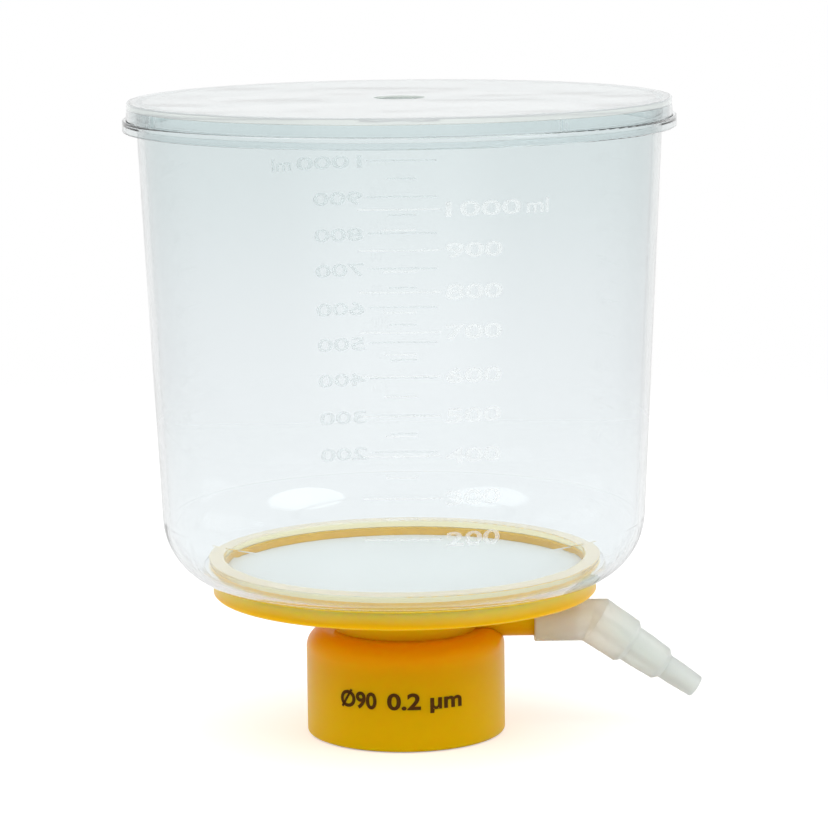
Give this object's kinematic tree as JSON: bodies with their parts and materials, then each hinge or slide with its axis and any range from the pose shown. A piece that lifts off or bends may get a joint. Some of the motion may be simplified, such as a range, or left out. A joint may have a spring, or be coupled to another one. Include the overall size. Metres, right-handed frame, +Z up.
{
  "type": "bottle-top vacuum filtration unit",
  "caption": "Clear tapered funnel with a lift-off lid over a filter disc, on a ribbed yellow base with a threaded neck collar, a side arm and an angled stepped hose connector.",
  "frame": {"origin": "centre of the neck collar's mouth, in the plane of its rim", "axes": "+Z up the unit's axis towards the lid, +X along the side arm towards the hose connector"},
  "size_m": [0.1384, 0.132, 0.1545],
  "materials": {
    "clear_funnel": "clear, glossy polystyrene",
    "clear_lid": "clear, glossy polystyrene",
    "membrane": "matt white membrane",
    "yellow_base": "translucent amber yellow, smooth moulded",
    "gasket": "matt off-white",
    "milky_connector": "milky translucent, satin",
    "cotton": "loose white fibre",
    "white_print": "matt white screen print",
    "brown_print": "dark brown print"
  },
  "bodies": {
    "unit": {"funnel": "clear_funnel", "filter_membrane": "membrane", "filter_base": "yellow_base", "neck_gasket": "gasket", "vent_plug": "cotton"},
    "lid": {"funnel_lid": "clear_lid"},
    "connector": {"hose_connector": "milky_connector"}
  },
  "joints": [
    {"name": "lid_lift", "type": "slide", "parent": "unit", "child": "lid", "axis": [0, 0, 1], "range_m": [0, 0.06]},
    {"name": "connector_swivel", "type": "hinge", "parent": "unit", "child": "connector", "pos_m": [0.0415, 0, 0.0266], "axis": [1, 0, 0], "continuous": true}
  ]
}
